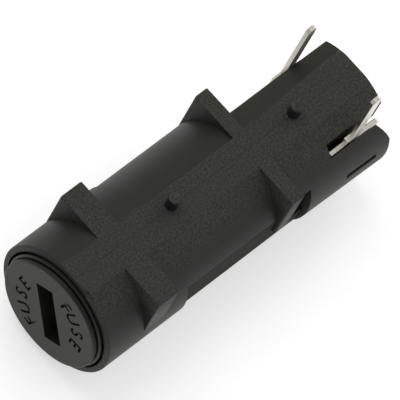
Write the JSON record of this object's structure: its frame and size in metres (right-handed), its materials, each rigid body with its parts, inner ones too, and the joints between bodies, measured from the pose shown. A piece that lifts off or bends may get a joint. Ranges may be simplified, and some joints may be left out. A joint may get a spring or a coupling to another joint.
{
  "type": "panel mount fuse holder",
  "caption": "Black moulded barrel fuse holder with a slotted bayonet cap, two square feet, locating pegs and flat solder pins.",
  "frame": {"origin": "middle of the front foot, on the face that sits on the circuit board", "axes": "+Z out of the board face, the way the pins point; +Y from the cap to the rear end, along the barrel; +X toward the side with the rear terminal's slot"},
  "size_m": [0.0134, 0.036, 0.0189],
  "materials": {
    "housing_plastic": "spark-eroded matt black moulding",
    "cap_plastic": "satin black moulding",
    "contact_plate": "nickel plated brass",
    "tinned_brass": "bright tin plate over brass",
    "spring_steel": "drawn spring wire"
  },
  "bodies": {
    "barrel": {"housing": "housing_plastic", "front_terminal": "tinned_brass", "rear_terminal": "tinned_brass", "rear_spring": "spring_steel"},
    "carrier": {"fuse_clip": "contact_plate", "clip_rivet": "contact_plate"},
    "bayonet_cap": {"cap": "cap_plastic"},
    "plunger": {"rear_contact": "contact_plate"}
  },
  "joints": [
    {"name": "carrier_pull", "type": "slide", "parent": "barrel", "child": "carrier", "axis": [0, -1, 0], "range_m": [0, 0.026]},
    {"name": "cap_turn", "type": "hinge", "parent": "carrier", "child": "bayonet_cap", "pos_m": [0, 0, -0.0065], "axis": [0, 1, 0], "range_deg": [0, 60]},
    {"name": "plunger_press", "type": "slide", "parent": "barrel", "child": "plunger", "axis": [0, 1, 0], "range_m": [0, 0.0025], "stiffness_N_per_m": 1500, "deforming": ["rear_spring"]}
  ]
}
